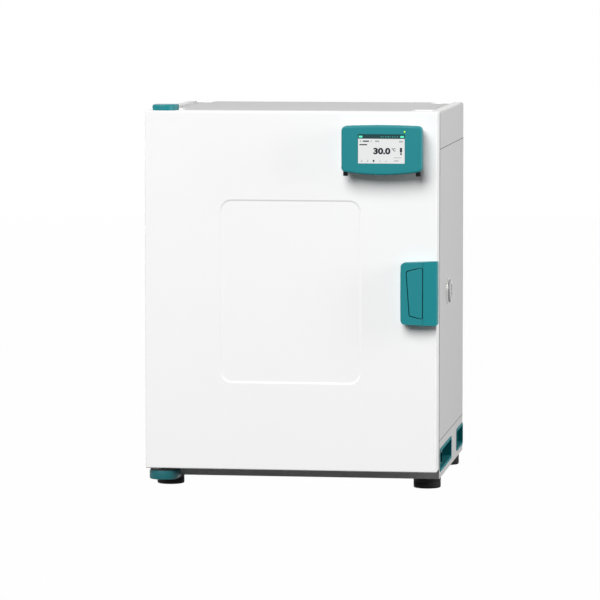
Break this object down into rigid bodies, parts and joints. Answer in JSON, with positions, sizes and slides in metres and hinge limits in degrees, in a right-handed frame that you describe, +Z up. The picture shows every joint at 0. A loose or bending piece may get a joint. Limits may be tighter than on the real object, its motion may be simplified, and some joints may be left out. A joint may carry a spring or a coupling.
{
  "type": "microbiological incubator",
  "caption": "Bench-top microbiological incubator: insulated cabinet, solid outer door with a controller pod and latch handle, inner glass door, wire shelves and fan.",
  "frame": {"origin": "on the bench under the middle of the whole object, feet standing at z = 0", "axes": "+X to the right as one faces the door, +Y to the back of the cabinet, +Z up"},
  "size_m": [0.6704, 0.6631, 0.8698],
  "materials": {
    "white_paint": "smooth white powder coat, satin",
    "grey_paint": "smooth light grey powder coat, satin",
    "zinc": "zinc-plated steel sheet and castings",
    "stainless": "brushed stainless steel",
    "stainless_wire": "polished stainless wire",
    "heater_metal": "oxidised heater sheath",
    "teal_plastic": "fine-grained teal moulding",
    "white_plastic": "satin white moulding",
    "grey_plastic": "satin grey moulding",
    "frame_plastic": "light grey thermal-break moulding",
    "black_plastic": "fine-grained black moulding",
    "light_pipe": "clear light pipe, lit yellow-green",
    "screen": "bonded glass display with its circuit board",
    "rubber": "black rubber",
    "gasket": "magnetic door gasket, dark grey",
    "silicone": "translucent grey silicone",
    "clear_glass": "clear tempered glass",
    "foam": "rigid polyurethane foam"
  },
  "bodies": {
    "cabinet": {"base_pan": "grey_paint", "side_panel_left": "grey_paint", "side_panel_right": "grey_paint", "top_cover": "grey_paint", "rear_panel": "grey_paint", "front_frame": "frame_plastic", "insulation": "foam", "chamber_liner": "stainless", "rear_baffle": "stainless", "shelf_rail_left": "stainless", "shelf_rail_right": "stainless", "shelf_upper": "stainless_wire", "shelf_lower": "stainless_wire", "fan_motor": "zinc", "heater_element": "heater_metal", "temperature_probe": "stainless", "cable_port_sleeve": "black_plastic", "vent_duct": "grey_plastic", "grip_front_left": "teal_plastic", "grip_front_right": "teal_plastic", "grip_rear_left": "teal_plastic", "grip_rear_right": "teal_plastic", "switch_housing": "black_plastic", "foot_front_left": "rubber", "foot_front_right": "rubber", "foot_rear_left": "rubber", "foot_rear_right": "rubber", "hinge_bracket_top": "zinc", "hinge_bracket_bottom": "zinc", "hinge_cover_top": "teal_plastic", "hinge_cover_bottom": "teal_plastic", "latch_keeper": "zinc", "glass_seal": "silicone", "glass_bracket_top": "stainless", "glass_bracket_bottom": "stainless", "power_supply": "zinc", "mains_inlet": "black_plastic"},
    "door": {"door_outer_shell": "white_paint", "door_insulation": "foam", "door_inner_sheet": "stainless", "door_gasket": "gasket", "hinge_bush_top": "white_plastic", "hinge_bush_bottom": "white_plastic", "handle_body": "teal_plastic", "controller_shell": "teal_plastic", "controller_back": "grey_plastic", "display_module": "screen", "status_led": "light_pipe", "controller_bumper_left": "rubber", "controller_bumper_right": "rubber"},
    "glass_door": {"glass_pane": "clear_glass", "glass_knob": "teal_plastic", "glass_shoe_top": "stainless", "glass_shoe_bottom": "stainless"},
    "paddle": {"release_paddle": "teal_plastic"},
    "latch": {"latch_bolt": "zinc"},
    "rocker": {"power_rocker": "black_plastic"},
    "plug": {"port_plug": "grey_plastic"},
    "damper": {"vent_damper": "teal_plastic"},
    "fan": {"fan_impeller": "black_plastic"}
  },
  "joints": [
    {"name": "door_hinge", "type": "hinge", "parent": "cabinet", "child": "door", "pos_m": [-0.306, -0.26925, 0.4544], "axis": [0, 0, -1], "range_deg": [0, 120]},
    {"name": "glass_hinge", "type": "hinge", "parent": "cabinet", "child": "glass_door", "pos_m": [-0.262, -0.22505, 0.4744], "axis": [0, 0, -1], "range_deg": [0, 90]},
    {"name": "paddle_press", "type": "hinge", "parent": "door", "child": "paddle", "pos_m": [0.2968, -0.31155, 0.45515], "axis": [0, 0, -1], "range_deg": [0, 10], "stiffness_Nm_per_rad": 0.5},
    {"name": "latch_slide", "type": "slide", "parent": "door", "child": "latch", "axis": [-1, 0, 0], "range_m": [0, 0.004]},
    {"name": "power_switch", "type": "hinge", "parent": "cabinet", "child": "rocker", "pos_m": [0.3198, -0.14225, 0.0689], "axis": [0, 0, -1], "range_deg": [0, 16]},
    {"name": "port_plug_pull", "type": "slide", "parent": "cabinet", "child": "plug", "axis": [1, 0, 0], "range_m": [0, 0.09]},
    {"name": "vent_turn", "type": "hinge", "parent": "cabinet", "child": "damper", "pos_m": [-0.13, 0.32285, 0.7194], "axis": [0, 1, 0], "range_deg": [0, 45]},
    {"name": "fan_spin", "type": "hinge", "parent": "cabinet", "child": "fan", "pos_m": [0, 0.23775, 0.4899], "axis": [0, 1, 0], "continuous": true}
  ],
  "couplings": [
    {"joint": "glass_hinge", "follows": "door_hinge", "ratio": 0.75},
    {"joint": "latch_slide", "follows": "paddle_press", "m_per_rad": 0.0229}
  ]
}
